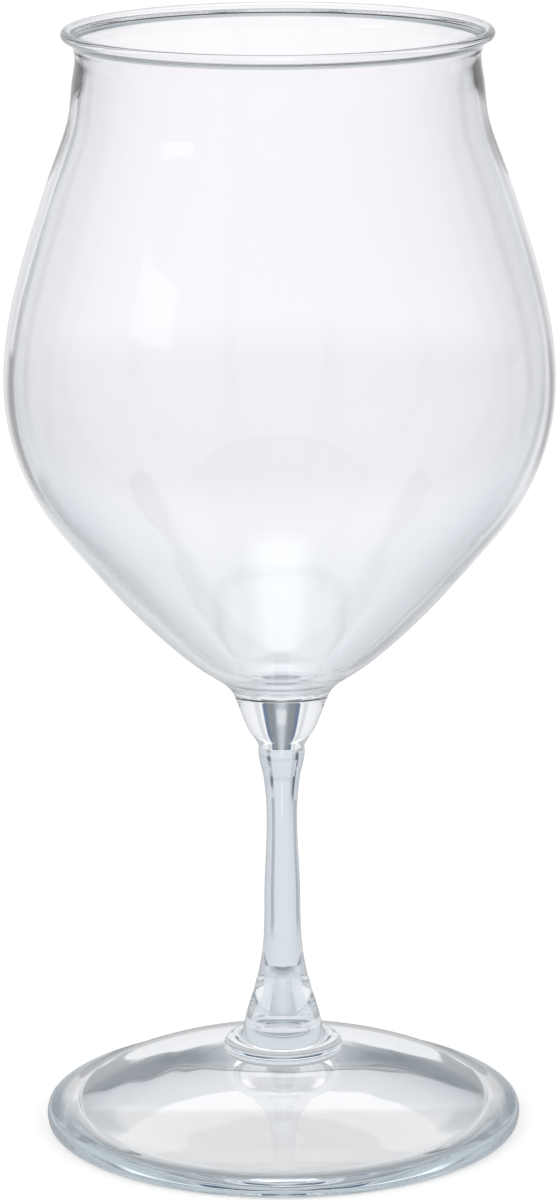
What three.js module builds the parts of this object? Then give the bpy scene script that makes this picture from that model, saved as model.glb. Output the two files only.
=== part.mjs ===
// A stemmed tulip glass of clear glass, made of three pieces: a blown bowl with a solid stub under its floor,
// a drawn stem with a tenon that sits in a socket of that stub, and a pressed foot with a boss for the stem.
// Millimetres, +Z up. The origin is the middle of the plane that the foot rests on.
import * as THREE from 'three';

// Overall
const FOOT_HEIGHT = 25.5;
const STEM_LENGTH = 39.4;
const BOWL_HEIGHT = 118.8;

// Joints, shared by the two pieces that meet there
const UPPER_JOINT_RADIUS = 3.77;
const SOCKET_RADIUS = 2.27;
const SOCKET_DEPTH = 6.6;
const TENON_CLEARANCE = 0.25;
const TENON_CHAMFER = 0.4;
const LOWER_WELD_RADIUS = 4.05;
const LOWER_WELD_HEADING = 103;

// Foot
const FOOT_RADIUS = 39.6;
const HEEL_ROUND = 1.0;
const EDGE_WALL = 1.2;
const ROLL_WIDTH = 2.8;
const ROLL_RISE = 1.4;
const ROLL_HEADING = 149;
const DOME_RISE = 8.45;
const DOME_HEADING = 172;
const COLLAR_RADIUS = 8.05;
const COLLAR_ROUND = 1.9;
const COLLAR_START = -20;
const COLLAR_END = 125;
const BOSS_BASE_HEADING = 97;
const RECESS_RADIUS = 33;
const RECESS_DEPTH = 6.8;

// Stem
const STEM_RADIUS = 2.99;
const STEM_FLARE_RISE = 13.5;
const WAIST_RADIUS = 2.84;
const WAIST_DROP = 6.0;
const SWELL_RADIUS = 3.86;
const SWELL_DROP = 0.9;
const UPPER_JOINT_HEADING = 100;

// Bowl, outside: each station's radius and heading, with its rise from the one below or drop from the one above
const STUB_HEADING = 80;
const STUB_TOE_RADIUS = 5.3;
const STUB_TOE_RISE = 2.5;
const STUB_TOE_HEADING = 66;
const STUB_HEAD_RADIUS = 7.5;
const STUB_HEAD_RISE = 5.4;
const STUB_HEAD_HEADING = 74;
const KNEE_RADIUS = 11.6;
const KNEE_RISE = 4.5;
const KNEE_HEADING = 32;
const CONE_FOOT_RADIUS = 20.6;
const CONE_FOOT_RISE = 7.4;
const CONE_FOOT_HEADING = 43;
const CONE_HEAD_RADIUS = 35.7;
const CONE_HEAD_RISE = 17.0;
const CONE_HEAD_HEADING = 50;
const BELLY_RADIUS = 44.85;
const BELLY_RISE = 24.4;
const SHOULDER_RADIUS = 37.05;
const SHOULDER_DROP = 13.6;
const SHOULDER_HEADING = 108.5;
const NECK_RADIUS = 33.25;
const NECK_DROP = 10.3;

// Lip: a round bead on a flared wall, standing proud of it on both sides with a fillet under each overhang
const LIP_RADIUS = 34.75;
const LIP_FLARE = 34.5;
const BEAD_ROUND = 0.83;
const OUTER_OVERHANG = 0.63;
const OUTER_FILLET = 1.2;
const INNER_OVERHANG = 0.2;
const INNER_FILLET = 0.6;

// Bowl, inside
const NECK_WALL = 1.2;
const WALL = 1.5;
const LOWER_WALL = 1.7;
const FLOOR_RADIUS = 6.0;
const FLOOR_DEPTH = 1.9;

// Facets: how far a chord may stand off its curve, and the facets round the axis
const CHORD_SAG = 0.05;
const FACETS_ROUND = 56;

// Headings in degrees: straight out from the axis, straight up and straight in; and turns between them
const OUT = 0;
const UP = 90;
const IN = 180;
const QUARTER_TURN = 90;
const HALF_TURN = 180;
const FULL_TURN = 360;

const radians = THREE.MathUtils.degToRad;
const degrees = THREE.MathUtils.radToDeg;

// A station is a point that an outline passes, with its heading
const station = (radius, height, heading) => ({
  point: new THREE.Vector2(radius, height),
  heading,
});

const direction = (heading) => new THREE.Vector2(Math.cos(radians(heading)), Math.sin(radians(heading)));

// The same station on the other face of a wall, heading back the other way
function across(outside, wall) {
  const inward = direction(outside.heading + QUARTER_TURN).multiplyScalar(wall);
  const inside = outside.point.clone().add(inward);
  return station(inside.x, inside.y, outside.heading + HALF_TURN);
}

// Steps that keep a chord within CHORD_SAG of a curve that turns by this angle over this length
const stepsFor = (length, turn) => Math.max(1, Math.ceil(Math.sqrt((length * turn) / (8 * CHORD_SAG))));

// Smooth outline through stations: one Bezier curve for each pair, close to an arc where a pair lies on one
function sweep(stations) {
  const points = [stations[0].point];
  for (let i = 1; i < stations.length; i += 1) {
    const from = stations[i - 1];
    const to = stations[i];
    const chord = to.point.clone().sub(from.point);
    const length = chord.length();
    const turn = radians(Math.abs(to.heading - from.heading));
    const share = turn > 1e-3 ? ((2 / 3) * Math.tan(turn / 4)) / Math.sin(turn / 2) : 1 / 3;
    const leave = direction(from.heading).multiplyScalar(length * share).add(from.point);
    const arrive = direction(to.heading).multiplyScalar(-length * share).add(to.point);
    const curve = new THREE.CubicBezierCurve(from.point, leave, arrive, to.point);
    const bend = (a, b) => Math.acos(THREE.MathUtils.clamp(a.dot(b) / (a.length() * b.length()), -1, 1));
    const start = leave.clone().sub(from.point);
    const end = to.point.clone().sub(arrive);
    const steps = stepsFor(length, bend(start, chord) + bend(chord, end));
    points.push(...curve.getPoints(steps).slice(1));
  }
  return points;
}

// Arc about a centre from one angle to another, in degrees; anticlockwise where the angle grows
function arc(centre, round, from, to) {
  const turn = radians(Math.abs(to - from));
  const steps = stepsFor(round * turn, turn);
  return Array.from({ length: steps + 1 }, (_, i) =>
    centre.clone().addScaledVector(direction(from + ((to - from) * i) / steps), round),
  );
}

// Joins runs of points into one outline, dropping a point that repeats the one before it
function outline(...runs) {
  const repeats = (a, b) => a.distanceTo(b) < 1e-4;
  return runs.flat().filter((point, i, all) => i === 0 || !repeats(point, all[i - 1]));
}

// Turns an outline that starts and ends on the axis into a closed solid standing along +Z
function turned(name, points, glass) {
  const geometry = new THREE.LatheGeometry(points, FACETS_ROUND);
  geometry.rotateX(radians(QUARTER_TURN));
  const mesh = new THREE.Mesh(geometry, glass);
  mesh.name = name;
  return mesh;
}

// Clear colourless glass; the thicker the piece, the more of its cool tint shows
const clearGlass = (color, opacity) =>
  new THREE.MeshStandardMaterial({ color, roughness: 0.03, metalness: 0, transparent: true, opacity });

// Foot: a rolled edge, a low dome, a collar, and a tapered boss up to the weld, hollowed underneath
function makeFoot() {
  const edgeTop = HEEL_ROUND + EDGE_WALL;
  const domeFoot = edgeTop + ROLL_RISE;
  const domeHead = domeFoot + DOME_RISE;
  const collarHeight = domeHead - COLLAR_ROUND * Math.sin(radians(COLLAR_START));
  const collarCentre = new THREE.Vector2(COLLAR_RADIUS, collarHeight);
  const collar = arc(collarCentre, COLLAR_ROUND, COLLAR_START, COLLAR_END);
  const bossBase = collar.at(-1);

  // The recess is a cap of a sphere, so its edge heads down by twice the slope of its chord
  const recessHeading = 2 * degrees(Math.atan2(-RECESS_DEPTH, RECESS_RADIUS));
  const recess = sweep([station(0, RECESS_DEPTH, OUT), station(RECESS_RADIUS, 0, recessHeading)]);
  const heelCentre = new THREE.Vector2(FOOT_RADIUS - HEEL_ROUND, HEEL_ROUND);
  const heel = arc(heelCentre, HEEL_ROUND, OUT - QUARTER_TURN, OUT);
  const edgeAndDome = sweep([
    station(FOOT_RADIUS, edgeTop, UP),
    station(FOOT_RADIUS - ROLL_WIDTH, domeFoot, ROLL_HEADING),
    station(collar[0].x, domeHead, DOME_HEADING),
  ]);
  const boss = sweep([
    station(bossBase.x, bossBase.y, BOSS_BASE_HEADING),
    station(LOWER_WELD_RADIUS, FOOT_HEIGHT, LOWER_WELD_HEADING),
  ]);
  const weldCentre = [new THREE.Vector2(0, FOOT_HEIGHT)];
  const profile = outline(recess, heel, edgeAndDome, collar, boss, weldCentre);
  return turned('foot', profile, clearGlass(0xdde4ea, 0.4));
}

// Stem: flares down to the boss, thins slowly upwards, swells just under the bowl and ends in a tenon
function makeStem() {
  const swellHeight = STEM_LENGTH - SWELL_DROP;
  const side = sweep([
    station(LOWER_WELD_RADIUS, 0, LOWER_WELD_HEADING),
    station(STEM_RADIUS, STEM_FLARE_RISE, UP),
    station(WAIST_RADIUS, swellHeight - WAIST_DROP, UP),
    station(SWELL_RADIUS, swellHeight, UP),
    station(UPPER_JOINT_RADIUS, STEM_LENGTH, UPPER_JOINT_HEADING),
  ]);
  const tenonRadius = SOCKET_RADIUS - TENON_CLEARANCE;
  const tenonTop = STEM_LENGTH + SOCKET_DEPTH - TENON_CLEARANCE;
  const tenon = [
    new THREE.Vector2(tenonRadius, STEM_LENGTH),
    new THREE.Vector2(tenonRadius, tenonTop - TENON_CHAMFER),
    new THREE.Vector2(tenonRadius - TENON_CHAMFER, tenonTop),
    new THREE.Vector2(0, tenonTop),
  ];
  const lowerCentre = [new THREE.Vector2(0, 0)];
  const profile = outline(lowerCentre, side, tenon);
  return turned('stem', profile, clearGlass(0xd3dbe4, 0.45));
}

// One side of the lip: where the wall ends, the fillet under the overhang, and where that meets the bead.
// Up is along the flared wall and aside is away from it; the fillet's circle touches the wall and the bead.
function overhang(bead, up, aside, proud, fillet) {
  const wall = BEAD_ROUND - proud;
  const reach = BEAD_ROUND + fillet;
  const below = -Math.sqrt(reach ** 2 - (wall + fillet) ** 2);
  const root = bead.clone().addScaledVector(aside, wall).addScaledVector(up, below);
  const centre = root.clone().addScaledVector(aside, fillet);
  const toBead = bead.clone().sub(centre);
  const toWall = root.clone().sub(centre);
  return { root, centre, wallAngle: degrees(toWall.angle()), beadAngle: degrees(toBead.angle()) };
}

// The same angle within half a turn of another one
const nearTo = (angle, other) => angle - FULL_TURN * Math.round((angle - other) / FULL_TURN);

// Lip: outer fillet, bead and inner fillet in one run, with the stations where the wall takes over
function makeLip() {
  const bead = new THREE.Vector2(LIP_RADIUS - BEAD_ROUND, BOWL_HEIGHT - BEAD_ROUND);
  const heading = UP - LIP_FLARE;
  const up = direction(heading);
  const outward = direction(heading - QUARTER_TURN);
  const outer = overhang(bead, up, outward, OUTER_OVERHANG, OUTER_FILLET);
  const inner = overhang(bead, up, outward.clone().negate(), INNER_OVERHANG, INNER_FILLET);
  const outerTouch = nearTo(outer.beadAngle + HALF_TURN, heading - QUARTER_TURN);
  const innerTouch = nearTo(inner.beadAngle + HALF_TURN, heading + QUARTER_TURN);
  const run = [
    ...arc(outer.centre, OUTER_FILLET, outer.wallAngle, nearTo(outer.beadAngle, outer.wallAngle)),
    ...arc(bead, BEAD_ROUND, outerTouch, innerTouch),
    ...arc(inner.centre, INNER_FILLET, inner.beadAngle, nearTo(inner.wallAngle, inner.beadAngle)),
  ];
  return {
    run,
    outside: station(outer.root.x, outer.root.y, heading),
    inside: station(inner.root.x, inner.root.y, heading + HALF_TURN),
  };
}

// Bowl: the outside runs up from the joint to the lip, and the inside follows it down to the floor
function makeBowl() {
  let height = 0;
  const above = (rise, radius, heading) => {
    height += rise;
    return station(radius, height, heading);
  };
  const joint = station(UPPER_JOINT_RADIUS, height, STUB_HEADING);
  const stubToe = above(STUB_TOE_RISE, STUB_TOE_RADIUS, STUB_TOE_HEADING);
  const stubHead = above(STUB_HEAD_RISE, STUB_HEAD_RADIUS, STUB_HEAD_HEADING);
  const knee = above(KNEE_RISE, KNEE_RADIUS, KNEE_HEADING);
  const coneFoot = above(CONE_FOOT_RISE, CONE_FOOT_RADIUS, CONE_FOOT_HEADING);
  const coneHead = above(CONE_HEAD_RISE, CONE_HEAD_RADIUS, CONE_HEAD_HEADING);
  const belly = above(BELLY_RISE, BELLY_RADIUS, UP);
  const neckHeight = BOWL_HEIGHT - NECK_DROP;
  const shoulder = station(SHOULDER_RADIUS, neckHeight - SHOULDER_DROP, SHOULDER_HEADING);
  const neck = station(NECK_RADIUS, neckHeight, UP);
  const lip = makeLip();

  const outside = [joint, stubToe, stubHead, knee, coneFoot, coneHead, belly, shoulder, neck, lip.outside];
  const floorEdge = station(FLOOR_RADIUS, knee.point.y - FLOOR_DEPTH, IN);
  const inside = [
    lip.inside,
    across(neck, NECK_WALL),
    across(shoulder, WALL),
    across(belly, WALL),
    across(coneHead, WALL),
    across(coneFoot, LOWER_WALL),
    across(knee, LOWER_WALL),
    floorEdge,
  ];
  const socket = [
    new THREE.Vector2(0, SOCKET_DEPTH),
    new THREE.Vector2(SOCKET_RADIUS, SOCKET_DEPTH),
    new THREE.Vector2(SOCKET_RADIUS, 0),
  ];
  const floorCentre = [new THREE.Vector2(0, floorEdge.point.y)];
  const profile = outline(socket, sweep(outside), lip.run, sweep(inside), floorCentre);
  return turned('bowl', profile, clearGlass(0xe6ebf0, 0.3));
}

const foot = makeFoot();
const stem = makeStem();
stem.position.z = FOOT_HEIGHT;
const bowl = makeBowl();
bowl.position.z = FOOT_HEIGHT + STEM_LENGTH;

const glass = new THREE.Group();
glass.add(foot, stem, bowl);

export default glass;
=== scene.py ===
# %% [markdown]
# # A tulip glass
# A stemmed drinking glass has no colour and no pattern to look at: everything that the eye sees in it is
# its outline and what the glass does to the light that comes through. So this lesson spends its effort on
# two things, the exact curve of each face of the glass, and a studio that gives the glass something to
# bend. The model comes from CAD as three solids, the bowl, the stem and the foot. They are the fixed
# frame here, and are never moved or resized.

# %% Load the frame
import cmath
import math

import bmesh
import bpy
from mathutils import Euler, Matrix, Vector


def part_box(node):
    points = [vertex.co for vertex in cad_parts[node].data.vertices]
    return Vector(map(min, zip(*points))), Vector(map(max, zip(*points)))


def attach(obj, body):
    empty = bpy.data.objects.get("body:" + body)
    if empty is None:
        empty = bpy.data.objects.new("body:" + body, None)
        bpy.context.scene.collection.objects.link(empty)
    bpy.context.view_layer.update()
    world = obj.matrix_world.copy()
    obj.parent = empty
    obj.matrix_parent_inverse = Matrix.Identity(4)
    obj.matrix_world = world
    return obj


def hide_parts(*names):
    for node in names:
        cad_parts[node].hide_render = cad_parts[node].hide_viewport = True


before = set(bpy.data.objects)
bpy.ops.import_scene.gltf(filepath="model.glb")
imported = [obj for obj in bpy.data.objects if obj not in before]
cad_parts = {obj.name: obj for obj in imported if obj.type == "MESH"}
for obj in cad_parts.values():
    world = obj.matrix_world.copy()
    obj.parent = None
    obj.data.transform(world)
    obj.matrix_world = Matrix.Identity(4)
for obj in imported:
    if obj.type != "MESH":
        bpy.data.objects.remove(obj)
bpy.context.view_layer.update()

# %% [markdown]
# ## The camera
# A product photographer stands well back with a long lens, a little above the rim, so that the mouth of
# the glass shows as a flat ellipse. The two ellipses of the lip and the foot fix where the lens must have
# been. A touch of roll and a small step aside follow the lean of the axis in the picture. The picture is
# tall, 558 by 1200, and Blender measures the sensor along the longer side, so the lens follows from that
# side's angle.

# %% Camera
CAMERA_BACK = 0.7941
CAMERA_ASIDE = -0.00029
CAMERA_HEIGHT = 0.2834
CAMERA_PITCH = math.radians(13.72)
CAMERA_ROLL = math.radians(-0.31)
CAMERA_LENS_MM = 149.3
SENSOR_MM = 36.0

camera_data = bpy.data.cameras.new("camera")
camera_data.sensor_width = SENSOR_MM
camera_data.lens = CAMERA_LENS_MM
camera = bpy.data.objects.new("camera", camera_data)
upright = math.radians(90)
aim = Euler((upright - CAMERA_PITCH, 0, 0)).to_matrix() @ Euler((0, 0, CAMERA_ROLL)).to_matrix()
camera.matrix_world = Matrix.Translation((CAMERA_ASIDE, -CAMERA_BACK, CAMERA_HEIGHT)) @ aim.to_4x4()
bpy.context.scene.collection.objects.link(camera)
bpy.context.scene.camera = camera
print("camera", round(CAMERA_BACK, 3), "m back,", CAMERA_LENS_MM, "mm lens")

# %% [markdown]
# ## Shader graphs as expressions
# A node graph is arithmetic with pictures round it. This small class wraps one output socket and gives it
# Python's operators, so that `1 - mask * 0.5` adds the two Math nodes it stands for. Every other node
# comes from `node`, which takes the node's type, its settings and what goes into its sockets. Most masks
# in this lesson are bands: 1 between two limits, and soft outside them.


# %% A socket with operators
class Wire:
    """An output socket that works in expressions: each operator adds the Math node for it."""

    def __init__(self, tree, socket):
        self.tree = tree
        self.socket = socket

    @classmethod
    def node(cls, tree, kind, settings=None, inputs=None, output=0):
        """Adds a node, sets it up, feeds its sockets with values or wires, and returns one output."""
        made = tree.nodes.new(kind)
        for name, value in (settings or {}).items():
            setattr(made, name, value)
        for name, value in (inputs or {}).items():
            if isinstance(value, cls):
                tree.links.new(value.socket, made.inputs[name])
            else:
                made.inputs[name].default_value = value
        return cls(tree, made.outputs[output]) if len(made.outputs) else made

    def __getitem__(self, output):
        """Another output of the same node."""
        return Wire(self.tree, self.socket.node.outputs[output])

    def math(self, operation, *values):
        """A Math node on the given values."""
        return self.node(self.tree, "ShaderNodeMath", {"operation": operation}, dict(enumerate(values)))

    def __add__(self, other):
        return self.math("ADD", self, other)

    def __sub__(self, other):
        return self.math("SUBTRACT", self, other)

    def __rsub__(self, other):
        return self.math("SUBTRACT", other, self)

    def __mul__(self, other):
        return self.math("MULTIPLY", self, other)

    __radd__ = __add__
    __rmul__ = __mul__

    def ease(self, start, end):
        """0 before start, 1 after end, and a smooth step between them."""
        settings = {"interpolation_type": "SMOOTHSTEP"}
        inputs = {"Value": self, "From Min": start, "From Max": end}
        return self.node(self.tree, "ShaderNodeMapRange", settings, inputs)

    def band(self, low, high, soft):
        """1 from low to high, fading to 0 over the width soft at each side."""
        return self.ease(low - soft, low) * (1 - self.ease(high, high + soft))


def graph_of(owner):
    """The empty node tree of a material or a world."""
    owner.use_nodes = True
    owner.node_tree.nodes.clear()
    return owner.node_tree


def mixed(tree, factor, first, second):
    """A colour between two colours or wires."""
    inputs = {0: factor, 6: first, 7: second}
    return Wire.node(tree, "ShaderNodeMix", {"data_type": "RGBA"}, inputs, output=2)


def dimmed(mask, share):
    """A factor that takes a share of the light away where the mask is 1."""
    return 1 - mask * share


print("operators", sorted(name for name in vars(Wire) if name.endswith(("add__", "sub__", "mul__"))))

# %% [markdown]
# ## Reading the outline back from the frame
# Each CAD solid was turned on the axis, so all of its shape is in one outline. The solids are faceted,
# and a glass shows every facet, because each one bends the light its own way. Their corner points lie on
# the true curve, though. So the outline is read from the frame, where its points stand in the half plane
# of +X, and a smooth curve is laid through them. A point of the outline is a complex number here, with the
# radius as its real part and the height as its imaginary part, because a turn in the plane is then a
# product.

# %% Outline of a turned solid
SNAP = 1e-6


def outline_of(node):
    """The points of a turned CAD solid in the half plane of +X, in order, from the lower end on the axis."""
    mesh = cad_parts[node].data
    places = {}
    links = {}
    for edge in mesh.edges:
        ends = [mesh.vertices[i].co for i in edge.vertices]
        if any(abs(end.y) > SNAP or end.x < -SNAP for end in ends):
            continue
        keys = [(round(end.x / SNAP), round(end.z / SNAP)) for end in ends]
        if keys[0] == keys[1]:
            continue
        for key, other, end in zip(keys, reversed(keys), ends):
            places[key] = complex(max(end.x, 0), end.z)
            links.setdefault(key, set()).add(other)
    loose = [key for key, others in links.items() if len(others) == 1]
    path = [min(loose, key=lambda key: key[1])]
    while len(path) < len(places):
        path.append(next(key for key in links[path[-1]] if key not in path[-2:]))
    return [places[key] for key in path]


outlines = {node: outline_of(node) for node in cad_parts}
print("outline points", {node: len(points) for node, points in outlines.items()})

# %% [markdown]
# A circle through a point and its two neighbours gives the direction of the curve there. At the ends of a
# run of points the direction mirrors the one next to it, unless a flat stretch goes on from there almost
# in line.

# %% Directions along an outline
FLAT_BLEND = math.radians(8)


def unit(vector):
    """A vector of the same direction and length 1."""
    return vector / abs(vector)


def headings(run, flat_in, flat_out):
    """The direction of the curve at each point of a run, a circle through neighbours deciding it."""
    chords = [unit(b - a) for a, b in zip(run, run[1:])]
    spans = [unit(b - a) for a, b in zip(run, run[2:])]
    inner = [unit(a * b / span) for a, b, span in zip(chords, chords[1:], spans)]
    if not inner:
        return [chords[0], chords[0]]
    first = chords[0] ** 2 / inner[0]
    last = chords[-1] ** 2 / inner[-1]
    if flat_in and abs(cmath.phase(first / flat_in)) < FLAT_BLEND:
        first = flat_in
    if flat_out and abs(cmath.phase(last / flat_out)) < FLAT_BLEND:
        last = flat_out
    return [first, *inner, last]


quarter = [cmath.rect(1, math.radians(degrees)) for degrees in range(0, 91, 30)]
leaving = headings(quarter, False, False)[0]
print("a quarter circle leaves its start at", round(math.degrees(cmath.phase(leaving))), "degrees")

# %% [markdown]
# A Bezier curve with the handles of an arc then joins each pair of points. Flat stretches, such as the
# resting ring, stay straight, and a sharp turn, such as the crease beside the collar, stays a corner.

# %% Smooth curve through an outline
CORNER = math.radians(60)
FINE_TURN = math.radians(3)
FINE_STEP = 0.0012
LEAST_TURN = 1e-4
LEVEL_SLOPE = 1e-3


def on_bezier(t, start, start_handle, end_handle, end):
    """A point of a cubic Bezier curve, for t from 0 to 1."""
    s = 1 - t
    return s**3 * start + 3 * s * s * t * start_handle + 3 * s * t * t * end_handle + t**3 * end


def bend(run, flat_in, flat_out):
    """Fine points along a smooth run, without its first point."""
    fine = []
    directions = headings(run, flat_in, flat_out)
    for a, b, leave, arrive in zip(run, run[1:], directions, directions[1:]):
        turn = abs(cmath.phase(arrive / leave))
        share = 2 / 3 * math.tan(turn / 4) / math.sin(turn / 2) if turn > LEAST_TURN else 1 / 3
        reach = share * abs(b - a)
        steps = math.ceil(max(turn / FINE_TURN, abs(b - a) / FINE_STEP))
        for i in range(1, steps + 1):
            fine.append(on_bezier(i / steps, a, a + reach * leave, b - reach * arrive, b))
    return fine


def smooth(points):
    """The fine outline: curves through the runs, straight flats, and corners where the turn is sharp."""
    last = len(points) - 1
    chords = [unit(b - a) for a, b in zip(points, points[1:])]
    flats = [abs(chord.imag) < LEVEL_SLOPE and chord for chord in chords]
    fine = [points[0]]
    start = 0
    while start < last:
        end = start + 1
        if not flats[start]:
            while end < last and not flats[end] and abs(cmath.phase(chords[end] / chords[end - 1])) < CORNER:
                end += 1
            before = start > 0 and flats[start - 1]
            after = end < last and flats[end]
            fine += bend(points[start:end + 1], before, after)
        else:
            fine.append(points[end])
        start = end
    return fine


curves = {node: smooth(points) for node, points in outlines.items()}
print("curve points", {node: len(points) for node, points in curves.items()})

# %% [markdown]
# ## Welds
# On the real glass the three pieces are melted together, and the light passes from one into the next as
# if the glass were one body. The meshes stay apart here, so the faces where they meet get a material of
# their own that lets everything through. These faces are the two flat weld planes, the stem's tenon and
# the bowl's socket round it, and their heights and radii come from the frame.

# %% Faces in a weld
OUTSIDE, WELD = range(2)
upper_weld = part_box("bowl")[0][2]
lower_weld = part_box("foot")[1][2]
upper_radius = max(point.real for point in outlines["bowl"] if abs(point.imag - upper_weld) < SNAP)
socket_top = outlines["bowl"][0].imag


def kind_of(node, a, b):
    """Whether a stretch of a curve is the outside of the glass or lies in a weld."""
    low = min(a.imag, b.imag)
    high = max(a.imag, b.imag)
    wide = max(a.real, b.real)
    on_a_plane = any(abs(low - weld) < SNAP and high - low < SNAP for weld in (upper_weld, lower_weld))
    on_the_tenon = node == "stem" and low > upper_weld - SNAP
    in_the_socket = node == "bowl" and wide < upper_radius + SNAP and high < socket_top + SNAP
    return WELD if on_a_plane or on_the_tenon or in_the_socket else OUTSIDE


def see_through(name):
    """A face inside the glass, where the light goes straight on."""
    material = bpy.data.materials.new(name)
    tree = graph_of(material)
    clear = Wire.node(tree, "ShaderNodeBsdfTransparent", inputs={"Color": (1, 1, 1, 1)})
    Wire.node(tree, "ShaderNodeOutputMaterial", inputs={"Surface": clear})
    return material


weld_face = see_through("weld_face")
print("welds at", round(lower_weld, 4), "and", round(upper_weld, 4), "m, socket up to", round(socket_top, 4))

# %% [markdown]
# ## Turning the curve
# A lathe sweeps the curve round the axis. It could be the Screw modifier, but building the rings by hand
# keeps one vertex at each pole, gives each stretch its material, and lets the glass stray from a perfect
# turned shape where the real one does.

# %% Lathe
ROUND_STEPS = 176
SHARP = math.radians(40)


def rings_of(curve, ripple):
    """The vertices of a turned curve, and for each of its points the ring of their numbers."""
    verts = []
    rings = []
    for i, point in enumerate(curve):
        if point.real < SNAP:
            rings.append([len(verts)] * ROUND_STEPS)
            verts.append((0, 0, point.imag))
            continue
        rings.append(list(range(len(verts), len(verts) + ROUND_STEPS)))
        outward = unit(curve[min(i + 1, len(curve) - 1)] - curve[i - 1]) / 1j
        for j in range(ROUND_STEPS):
            angle = 2 * math.pi * j / ROUND_STEPS
            place = point + outward * ripple(point, angle) if ripple else point
            verts.append((place.real * math.cos(angle), place.real * math.sin(angle), place.imag))
    return verts, rings


def turned(name, node, glass, ripple=None):
    """A closed mesh of a node's curve, turned; ripple moves a point along the normal of the surface."""
    curve = curves[node]
    verts, rings = rings_of(curve, ripple)
    faces = []
    slots = []
    for lower, upper, a, b in zip(rings, rings[1:], curve, curve[1:]):
        for j in range(ROUND_STEPS):
            k = (j + 1) % ROUND_STEPS
            corners = [lower[j], lower[k], upper[k], upper[j]]
            faces.append(list(dict.fromkeys(corners)))
            slots.append(kind_of(node, a, b))
    mesh = bpy.data.meshes.new(name)
    mesh.from_pydata(verts, [], faces)
    for finish in (glass, weld_face):
        mesh.materials.append(finish)
    mesh.polygons.foreach_set("material_index", slots)
    mesh.polygons.foreach_set("use_smooth", [True] * len(faces))
    mesh.set_sharp_from_angle(angle=SHARP)
    mesh.update()
    piece = bpy.data.objects.new(name, mesh)
    bpy.context.scene.collection.objects.link(piece)
    print(name, len(verts), "vertices", len(faces), "faces", slots.count(WELD), "of them in a weld")
    return piece


print("lathe with", ROUND_STEPS, "steps round")

# %% [markdown]
# ## Clear glass
# Clear glass is all but colourless: a faint cool grey that shows only where the light has a long way to
# go. The shader is a Principled one with full transmission and the index of refraction of the material.
# Light that grazes a wall travels furthest in it, so the tint deepens with Layer Weight's Facing, from
# the colour straight through to the colour edge-on. The edge-on colour is deeper than clear glass has: it
# is partly the glass's own tint and partly painted shade that darkens the edges. A perfect glass looks
# drawn by a computer, so the colour and the polish wander a little, and a faint bump stands for the
# streaks that blowing, drawing and pressing leave.

# %% Clear glass
GLASS_IOR = 1.473
STREAK_SCALE = 90.0
CLOUD_SCALE = 35.0
CLOUD_PALENESS = 0.8
DULLEST = 0.012


def clear_glass(name, straight, edge_on_and_shade, onset, wave_depth, wave_stretch, zones=None):
    """Polished clear glass, from its colours straight through and edge-on and how late the change sets in.

    Its streaks have a depth, and a stretch along the axis. The edge-on colour is partly painted shade.
    zones takes the place on the glass and gives masks, each with the colour that the glass gets there,
    in places partly painted shade.
    """
    material = bpy.data.materials.new(name)
    tree = graph_of(material)
    place = Wire.node(tree, "ShaderNodeTexCoord", output="Object")
    along = {"Vector": place, "Scale": (1, 1, wave_stretch)}
    stretched = Wire.node(tree, "ShaderNodeMapping", inputs=along)
    streak = {"Vector": stretched, "Scale": STREAK_SCALE, "Detail": 2.0}
    streaks = Wire.node(tree, "ShaderNodeTexNoise", inputs=streak)
    cloud = {"Vector": place, "Scale": CLOUD_SCALE, "Detail": 3.0}
    clouds = Wire.node(tree, "ShaderNodeTexNoise", inputs=cloud)
    pale = [1 - (1 - c) * CLOUD_PALENESS for c in straight]
    body = mixed(tree, clouds, (*straight, 1), (*pale, 1))
    for mask, colour in zones(tree, place) if zones else ():
        body = mixed(tree, mask, body, (*colour, 1))
    facing = Wire.node(tree, "ShaderNodeLayerWeight", inputs={"Blend": 0.5}, output="Facing")
    # Toward grazing angles the colour goes to the edge-on one, which is partly painted shade on the edges.
    edge = facing.math("POWER", facing, onset)
    bump = {"Height": streaks, "Strength": 1.0, "Distance": wave_depth}
    glass = Wire.node(
        tree,
        "ShaderNodeBsdfPrincipled",
        inputs={
            "Base Color": mixed(tree, edge, body, (*edge_on_and_shade, 1)),
            "Roughness": clouds.ease(0.62, 0.8) * DULLEST,
            "IOR": GLASS_IOR,
            "Transmission Weight": 1.0,
            "Normal": Wire.node(tree, "ShaderNodeBump", inputs=bump),
        },
    )
    Wire.node(tree, "ShaderNodeOutputMaterial", inputs={"Surface": glass})
    print(name, len(tree.nodes), "nodes")
    return material


print("index of refraction", GLASS_IOR)

# %% [markdown]
# The three pieces are one kind of glass, but not equally thick, so each has its own tint. The bowl is
# thin and almost white, and a shade cooler in its cone, where the wall is thicker. The stem is a solid
# rod, so it is greyer; its grey is deeper than clear glass has, partly its own tint and partly painted
# shade. The foot is clear in the middle, with more colour where it is thick: in the boss that carries the
# stem and in its rolled edge. These two colours too are partly the glass's tint and partly painted shade.

# %% Three glasses
BOWL_TINT = (0.985, 0.974, 0.998)
CONE_TINT = (0.968, 0.976, 0.995)
# The stem's colours are partly its own tint and partly painted shade, deeper than clear glass has.
STEM_TINT_AND_SHADE = (0.69, 0.75, 0.80)
STEM_EDGE_TINT_AND_SHADE = (0.38, 0.43, 0.49)
FOOT_TINT = (0.955, 0.965, 0.985)
# The boss and rolled-edge colours are partly the glass's tint and partly painted shade.
BOSS_TINT_AND_SHADE = (0.84, 0.89, 0.93)
ROLLED_TINT_AND_SHADE = (0.52, 0.59, 0.64)
# The edge-on colour is partly the glass's tint and partly painted shade that darkens grazing edges.
EDGE_TINT_AND_SHADE = (0.45, 0.50, 0.56)

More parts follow.
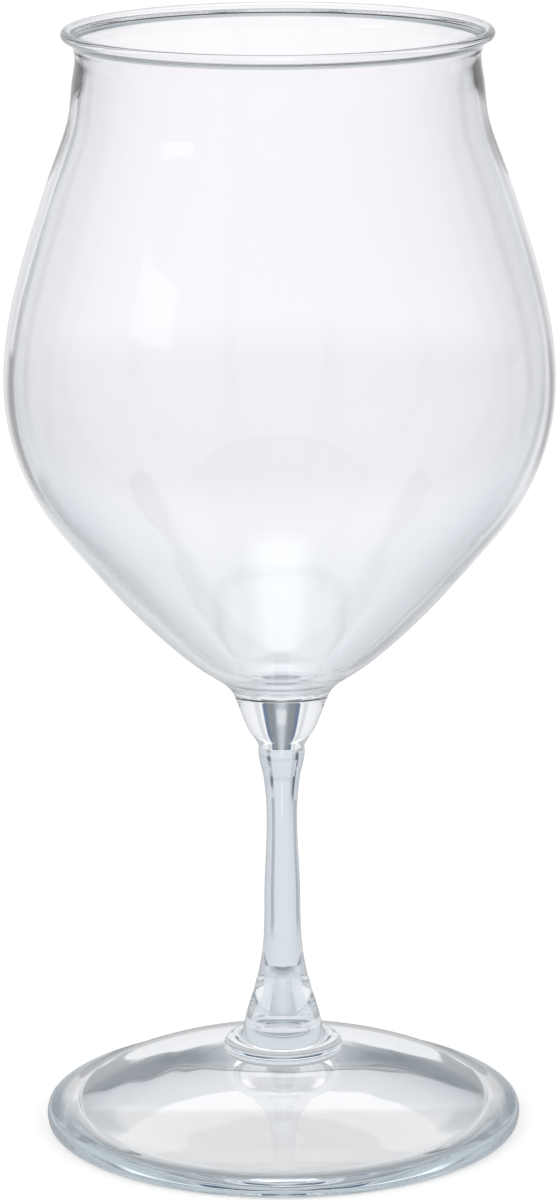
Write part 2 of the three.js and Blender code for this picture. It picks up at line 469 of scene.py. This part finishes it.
CONE_FADE = (0.10, 0.14)
BOSS_SIDE = (0.0070, 0.0078)
BOSS_LOW = (0.0105, 0.0125)
ROLLED_FROM = (0.0362, 0.0374)


def cone_of_bowl(tree, place):
    """The lower half of the bowl, where the wall is thicker."""
    height = Wire.node(tree, "ShaderNodeSeparateXYZ", inputs={"Vector": place}, output="Z")
    return ((1 - height.ease(*CONE_FADE), CONE_TINT),)


def boss_and_edge(tree, place):
    """Where the foot is thick, the boss that carries the stem and the rolled edge, with colours that are
    partly painted shade.
    """
    axes = Wire.node(tree, "ShaderNodeSeparateXYZ", inputs={"Vector": place})
    radius = axes.math("SQRT", axes["X"] * axes["X"] + axes["Y"] * axes["Y"])
    boss = (1 - radius.ease(*BOSS_SIDE)) * axes["Z"].ease(*BOSS_LOW)
    return (boss, BOSS_TINT_AND_SHADE), (radius.ease(*ROLLED_FROM), ROLLED_TINT_AND_SHADE)


blown_glass = clear_glass(
    "blown_glass",
    BOWL_TINT,
    EDGE_TINT_AND_SHADE,
    onset=2.0,
    wave_depth=0.000002,
    wave_stretch=0.3,
    zones=cone_of_bowl,
)
drawn_glass = clear_glass(
    "drawn_glass",
    STEM_TINT_AND_SHADE,
    STEM_EDGE_TINT_AND_SHADE,
    onset=1.0,
    wave_depth=0.000004,
    wave_stretch=0.1,
)
pressed_glass = clear_glass(
    "pressed_glass",
    FOOT_TINT,
    EDGE_TINT_AND_SHADE,
    onset=4.0,
    wave_depth=0.000004,
    wave_stretch=1.0,
    zones=boss_and_edge,
)

# %% [markdown]
# ## Waves of the pressed glass
# The foot was pressed, and the tool left its faces a little uneven between the collar and the rolled
# edge. A few micrometres are enough: the light that the foot mirrors and bends wavers with them. They
# could be a bump, but a bump doesn't show in the mesh, so the lathe moves the points themselves, by a sum
# of sines across the foot.

# %% Waves
WAVE_DEPTH = 0.000004
COLLAR_END_MM = 11
COLLAR_FADE_MM = 5
EDGE_START_MM = 35
EDGE_FADE_MM = 4


def share_of(value):
    """A value kept between 0 and 1."""
    return min(max(value, 0), 1)


def pressed_waves(point, angle):
    """How far the pressed foot strays from its turned shape at a point, between its collar and its edge."""
    radius = point.real * 1000
    x = radius * math.cos(angle)
    y = radius * math.sin(angle)
    past_collar = share_of((radius - COLLAR_END_MM) / COLLAR_FADE_MM)
    before_edge = share_of((EDGE_START_MM - radius) / EDGE_FADE_MM)
    crossed = math.sin(0.55 * x + 0.3 * y + 1) * math.sin(0.2 * x - 0.62 * y)
    slanted = 0.6 * math.sin(0.9 * x - 0.5 * y + 2)
    return WAVE_DEPTH * (crossed + slanted) * (past_collar * before_edge)


sample = pressed_waves(complex(0.02, 0), 0)
print("wave at 20 mm to the right:", round(sample * 1e6, 2), "micrometres")

# %% [markdown]
# ## Bubbles in the welds
# A flame seals a little air into a weld. Such a bubble is a hole in the glass, a ball whose faces look
# inwards, and it shines because light can't get out of the glass through its flank. Each one is placed by
# its angle from the front in degrees, its height, how deep it lies under the surface, and its three radii
# in millimetres.

# %% Weld bubbles
BUBBLES = {
    "bowl": ((-28, 0.06555, 0.00045, (0.32, 0.30, 0.32)),),
    "stem": (
        (80, 0.06450, 0.00040, (0.22, 0.22, 0.25)),
        (-69, 0.02592, 0.00042, (0.33, 0.30, 0.33)),
    ),
    "foot": (
        (57, 0.02508, 0.00042, (0.33, 0.30, 0.33)),
        (64, 0.02130, 0.00055, (0.50, 0.30, 0.26)),
        (63, 0.01950, 0.00055, (0.36, 0.25, 0.22)),
    ),
}


def radius_at(node, height):
    """The outer radius of a turned piece at a height."""
    crossings = []
    for a, b in zip(curves[node], curves[node][1:]):
        if min(a.imag, b.imag) <= height < max(a.imag, b.imag):
            crossings.append(a.real + (b.real - a.real) * (height - a.imag) / (b.imag - a.imag))
    return max(crossings)


def blow_bubbles(piece, node):
    """Adds the bubbles of a node to its piece."""
    mesh = bmesh.new()
    mesh.from_mesh(piece.data)
    for degrees, height, depth, radii in BUBBLES[node]:
        angle = math.radians(degrees)
        reach = radius_at(node, height) - depth
        centre = Vector((reach * math.sin(angle), -reach * math.cos(angle), height))
        spot = Matrix.LocRotScale(centre, Euler((0, 0, angle)), Vector(radii) / 1000)
        ball = bmesh.ops.create_uvsphere(mesh, u_segments=16, v_segments=10, radius=1, matrix=spot)
        faces = list({face for vert in ball["verts"] for face in vert.link_faces})
        bmesh.ops.reverse_faces(mesh, faces=faces)
        for face in faces:
            face.smooth = True
    mesh.to_mesh(piece.data)
    mesh.free()
    print(piece.name, len(BUBBLES[node]), "bubbles")


print("bubbles to blow", sum(len(rows) for rows in BUBBLES.values()))

# %% [markdown]
# ## The three pieces
# The bowl was blown, the stem was drawn from a gather and the foot was pressed, and a flame joined them.
# With the lathe, the glass, the waves and the bubbles at hand, each piece is one call. It replaces its
# CAD node, which stays behind it for collision, and rides the one body of the glass, because nothing on
# it moves.

# %% Bowl, stem and foot
bowl = turned("blown_bowl", "bowl", blown_glass)
stem = turned("drawn_stem", "stem", drawn_glass)
foot = turned("pressed_foot", "foot", pressed_glass, pressed_waves)
for piece, node, slot in (
    (bowl, "bowl", "bowl_glass"),
    (stem, "stem", "stem_glass"),
    (foot, "foot", "foot_glass"),
):
    blow_bubbles(piece, node)
    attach(piece, "root")
    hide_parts(node)

# %% [markdown]
# ## The studio
# A photographer stands a clear glass in a tent of white cloth, so that it shows white wherever one looks
# through it. Then the glass would vanish, so grey gaps are left in the tent, and the glass bends them
# into thin lines along its own edges. The gaps here lie between eight panels, so that the glass reads the
# same from all round. A dark pole lies behind on the left and points away from the glass, and a bright
# strip hangs high up behind. The tent is worked out from the azimuth and elevation of a direction in
# degrees.

# %% Tent
PANEL = 45.0


def angles_of(tree, vector):
    """Azimuth and elevation of a direction in degrees; azimuth 0 is straight behind the glass."""
    axes = Wire.node(tree, "ShaderNodeSeparateXYZ", inputs={"Vector": vector})
    degrees = 180 / math.pi
    azimuth = axes.math("ARCTAN2", axes["X"], axes["Y"]) * degrees
    elevation = axes.math("ARCSINE", axes["Z"]) * degrees
    return azimuth, elevation


def tent(azimuth, elevation):
    """How bright the tent is in a direction, seen through the glass."""
    folded = azimuth.math("WRAP", azimuth, PANEL / 2, -PANEL / 2)
    gap = 1 - folded.band(-17, 17, 5)
    pole = azimuth.band(-35, -30.5, 1.5) * (1 - elevation.ease(0, 1.5))
    strip = azimuth.band(-45, 45, 8) * elevation.band(34, 44, 1.5)
    return dimmed(gap, 0.22) * dimmed(pole, 0.6) + strip * 0.8


def kinds_of_ray(tree):
    """1 for rays that come through glass, that glass mirrors, that the camera sends, and for all others."""
    rays = Wire.node(tree, "ShaderNodeLightPath")
    through = rays["Is Transmission Ray"]
    mirrored = rays["Is Glossy Ray"] * (1 - through)
    seen = rays["Is Camera Ray"]
    return through, mirrored, seen, 1 - (through + mirrored + seen)


print("tent of", round(360 / PANEL), "panels")

# %% [markdown]
# The tent is the world's light. The camera sees it plain white, and other surfaces get an even light from
# it. What the glass mirrors is a dimmer room, so that the reflections stay soft: lighter on the left,
# lighter low down behind the glass, and with one window at the front left that puts the bright patches on
# the bowl. Shaded cloth looks a little cool.

# %% World
MIRRORED_LEVEL = 0.42
ROOM_LEVEL = 0.9
COOL_SHADE = (0.82, 0.93, 1, 1)
WHITE = (1, 1, 1, 1)

world = bpy.data.worlds.new("studio")
bpy.context.scene.world = world
tree = graph_of(world)
direction = Wire.node(tree, "ShaderNodeTexCoord", output="Generated")
azimuth, elevation = angles_of(tree, direction)
through, mirrored, seen, lighting = kinds_of_ray(tree)
window = azimuth.band(-131, -114, 3) * elevation.band(12, 20.5, 1.5)
from_the_left = azimuth.math("SINE", azimuth * (-math.pi / 180))
behind = azimuth.band(-50, 50, 15)
low_cloth = 0.45 - elevation.ease(10, 16) * 0.37
reflection = MIRRORED_LEVEL + from_the_left * 0.15 + behind * low_cloth + window * 1.2
strength = seen + through * tent(azimuth, elevation) + mirrored * reflection + lighting * ROOM_LEVEL
cloth = mixed(tree, strength.ease(0.2, 1), COOL_SHADE, WHITE)
sky = Wire.node(tree, "ShaderNodeBackground", inputs={"Color": cloth, "Strength": strength})
Wire.node(tree, "ShaderNodeOutputWorld", inputs={"Surface": sky})
print("world", len(tree.nodes), "nodes")

# %% [markdown]
# ## The paper
# The glass stands on white paper that runs on past the edge of the picture. The camera sees it white,
# with the soft shadow of the glass. It could be a plane, but a round sheet looks the same from all sides.

# %% Paper
PAPER_RADIUS = 3.0
PAPER_DROP = 0.0001

paper_spot = (0, 0, -PAPER_DROP)
bpy.ops.mesh.primitive_circle_add(vertices=96, radius=PAPER_RADIUS, fill_type="NGON", location=paper_spot)
floor = bpy.context.object
floor.name = "floor"
print("paper", 2 * PAPER_RADIUS, "m across")

# %% [markdown]
# The camera looks a little down, so nearly all that one sees through the empty bowl is the paper behind
# the glass, and what lies on the paper draws the grey in the bowl. Away from the foot the paper carries
# on the tent's panels. Narrow dark strips, which photographers call flags, lie at both sides, far off and
# near by, and bend into the lines along the wall. A duller ring and a slope of light to the right give
# the bowl its soft change of grey, and a bright spot behind the glass stands for the light that the bowl
# gathers there. Distances are in metres.

# %% What lies on the paper
paper = bpy.data.materials.new("paper")
tree = graph_of(paper)
place = Wire.node(tree, "ShaderNodeTexCoord", output="Object")
axes = Wire.node(tree, "ShaderNodeSeparateXYZ", inputs={"Vector": place})
azimuth, elevation = angles_of(tree, place)
distance = Wire.node(tree, "ShaderNodeVectorMath", {"operation": "LENGTH"}, {0: place}, output="Value")
depth = axes["Y"]
aside = axes.math("ABSOLUTE", axes["X"])

panels = dimmed(distance.ease(0.1, 0.4), 1 - tent(azimuth, elevation))
left_flag = azimuth.band(-31, -26.5, 1.5) * distance.band(0.33, 0.9, 0.1)
right_flag = azimuth.band(20, 27, 2) * distance.ease(0.32, 0.42) * dimmed(distance.ease(0.7, 1.1), 0.6)
near_flags = (azimuth.band(20, 28, 2.5) + azimuth.band(-52, -40, 4)) * distance.band(0.10, 0.26, 0.03)
flags = dimmed(left_flag, 0.75) * dimmed(right_flag, 0.65) * dimmed(near_flags, 0.35)

to_the_right = axes["X"].ease(-0.12, 0.12) * distance.ease(0.5, 1.0)
dull_ring = distance.band(0.50, 0.66, 0.10)
focus = (1 - aside.ease(0.003, 0.013)) * depth.band(0.22, 0.36, 0.05)
paper_light = (1.04 - to_the_right * 0.03) * dimmed(dull_ring, 0.085) + focus * 0.16
print("paper so far", len(tree.nodes), "nodes")

# %% [markdown]
# Close to the foot lies its own shade: a light one under all of it, a deeper one under its front half, a
# dark ring where the rolled edge meets the paper, and a patch just behind the stem. The camera doesn't
# see these shades straight, only through the glass. Where the paper meets the camera's eye it is partly
# lit by the lamps, which is what shows the shadow, and partly glows, which keeps it white.

# %% Shade under the foot and the paper's light
PAPER_GREY = 0.5
PAPER_WHITE = 1.03
PAPER_THROUGH = 0.97

under_foot = 1 - distance.ease(0.034, 0.046)
in_front = 1 - depth.ease(-0.002, 0.002)
contact = distance.band(0.0345, 0.0405, 0.0025)
behind_stem = (1 - aside.ease(0.004, 0.0065)) * depth.band(0.012, 0.024, 0.002)
foot_shade = dimmed(under_foot, 0.06 + in_front * 0.18) * dimmed(contact, 0.4) * dimmed(behind_stem, 0.22)
shaded = panels * flags * paper_light * foot_shade
cloth_behind = azimuth.band(-60, 60, 20) * distance.ease(0.12, 0.3)
in_mirror = MIRRORED_LEVEL + cloth_behind * flags * 0.4

through, mirrored, seen, _ = kinds_of_ray(tree)
strength = through * shaded * PAPER_THROUGH + mirrored * in_mirror + seen * (PAPER_WHITE - PAPER_GREY)
glow = Wire.node(tree, "ShaderNodeEmission", inputs={"Strength": strength})
white = Wire.node(tree, "ShaderNodeBsdfDiffuse", inputs={"Color": (PAPER_GREY, PAPER_GREY, PAPER_GREY, 1)})
lit = Wire.node(tree, "ShaderNodeAddShader", inputs={0: white, 1: glow})
paper_shader = Wire.node(tree, "ShaderNodeMixShader", inputs={0: through + mirrored, 1: lit, 2: glow})
Wire.node(tree, "ShaderNodeOutputMaterial", inputs={"Surface": paper_shader})
floor.data.materials.append(paper)
print("paper", len(tree.nodes), "nodes")

# %% [markdown]
# ## The opening behind the glass
# The tent is open straight behind the glass, and the room beyond it is dim. The solid stub under the bowl
# works as a small lens and shows that opening as a dark block, and the hollow foot mirrors it as two dark
# arcs. Both see it from their own height, so it has to stand at a real distance: it is a card, and only
# light that comes through glass may see it. It is lighter in the middle, most of all low down. Glass
# bends blue more than red, which gives the block its blue edges. Cycles bends all colours alike, so the
# card's own upright edges are blue here.

# %% Opening
OPENING_BACK = 1.0
OPENING_LOW = 0.145
OPENING_HIGH = 0.68
OPENING_HALF = 0.32
FRINGE_BLUE = (0.5, 0.66, 1, 1)


def only_through_glass(stand_in):
    """Hides a card of the stage from everything but light that comes through glass."""
    stand_in.visible_camera = False
    stand_in.visible_glossy = False
    stand_in.visible_diffuse = False
    stand_in.visible_shadow = False


bpy.ops.mesh.primitive_plane_add(size=1, location=(0, OPENING_BACK, (OPENING_LOW + OPENING_HIGH) / 2))
opening = bpy.context.object
opening.name = "opening"
opening.rotation_euler = (upright, 0, 0)
opening.scale = (2 * OPENING_HALF, OPENING_HIGH - OPENING_LOW, 1)
only_through_glass(opening)

dim_room = bpy.data.materials.new("dim_room")
tree = graph_of(dim_room)
spot = Wire.node(tree, "ShaderNodeNewGeometry", output="Position")
axes = Wire.node(tree, "ShaderNodeSeparateXYZ", inputs={"Vector": spot})
aside = axes.math("ABSOLUTE", axes["X"])
inside = (1 - aside.ease(0.275, 0.31)) * axes["Z"].ease(OPENING_LOW, OPENING_LOW + 0.02)
low_middle = (1 - axes["Z"].ease(0.18, 0.215)) * (1 - aside.ease(0.06, 0.09))
dim = inside * dimmed(low_middle, 0.45) * (0.36 + aside.ease(0.012, 0.14) * 0.36)
colour = mixed(tree, dim * 1.5, WHITE, COOL_SHADE)
colour = mixed(tree, aside.band(0.23, 0.29, 0.03) * inside, colour, FRINGE_BLUE)
beyond_tent = Wire.node(tree, "ShaderNodeEmission", inputs={"Color": colour, "Strength": 1 - dim})
Wire.node(tree, "ShaderNodeOutputMaterial", inputs={"Surface": beyond_tent})
opening.data.materials.append(dim_room)
print("opening", len(tree.nodes), "nodes,", 2 * OPENING_HALF, "m wide")

# %% [markdown]
# ## The flag over the lip
# The thick bead of the lip throws the light that meets it steeply upwards. A black card over the glass is
# what it finds there, and that draws the dark line round the far side of the mouth. The card is greyer at
# its left end, where the line is lighter. Only light that comes through glass may see it.

# %% Flag
FLAG_HEIGHT = 0.225
FLAG_WIDTH = 0.24
FLAG_NEAR = 0.036
FLAG_FAR = 0.125
FLAG_TINT = (0.9, 0.95, 1, 1)

bpy.ops.mesh.primitive_plane_add(size=1, location=(0, (FLAG_NEAR + FLAG_FAR) / 2, FLAG_HEIGHT))
flag = bpy.context.object
flag.scale = (FLAG_WIDTH, FLAG_FAR - FLAG_NEAR, 1)
flag.name = "flag"
only_through_glass(flag)

black_card = bpy.data.materials.new("black_card")
tree = graph_of(black_card)
place = Wire.node(tree, "ShaderNodeTexCoord", output="Object")
across = Wire.node(tree, "ShaderNodeSeparateXYZ", inputs={"Vector": place}, output="X")
faded = 0.03 + (1 - across.ease(-0.15, 0.05)) * 0.36
black = Wire.node(tree, "ShaderNodeEmission", inputs={"Color": FLAG_TINT, "Strength": faded})
Wire.node(tree, "ShaderNodeOutputMaterial", inputs={"Surface": black})
flag.data.materials.append(black_card)
print("flag", FLAG_WIDTH, "m wide,", FLAG_HEIGHT, "m up")

# %% [markdown]
# ## Lamps
# Two large soft lamps light the paper. The glass itself only shows the tent, so the lamps stay out of
# what it mirrors and bends.

# %% Lamps
LAMP_SIZE = 0.9

for name, place, watts in (
    ("key_softbox", (-0.8, -0.6, 1.2), 5.0),
    ("fill_softbox", (0.9, -0.3, 1.1), 3.0),
):
    lamp_data = bpy.data.lights.new(name, "AREA")
    lamp_data.energy = watts
    lamp_data.size = LAMP_SIZE
    lamp = bpy.data.objects.new(name, lamp_data)
    lamp.location = place
    lamp.rotation_euler = (-Vector(place)).to_track_quat("-Z", "Y").to_euler()
    lamp.visible_glossy = False
    lamp.visible_transmission = False
    bpy.context.scene.collection.objects.link(lamp)
    print(name, watts, "W")

# %% [markdown]
# ## Render settings
# A ray that enters the thick lip or the foot may be mirrored inside the glass many times before it gets
# out. With Blender's usual number of bounces it would end inside and leave a black speck, so the limits
# go up. The Standard view keeps white paper white.

# %% Render settings
GLASS_BOUNCES = 48

scene = bpy.context.scene
scene.view_settings.view_transform = "Standard"
scene.cycles.max_bounces = GLASS_BOUNCES
scene.cycles.transmission_bounces = GLASS_BOUNCES
scene.cycles.glossy_bounces = GLASS_BOUNCES
scene.cycles.transparent_max_bounces = 32
print("up to", scene.cycles.max_bounces, "bounces")

# %% [markdown] The smooth curves run through the corner points of the solids, so the visual model should
# measure what the CAD model does, within a few hundredths of a millimetre.
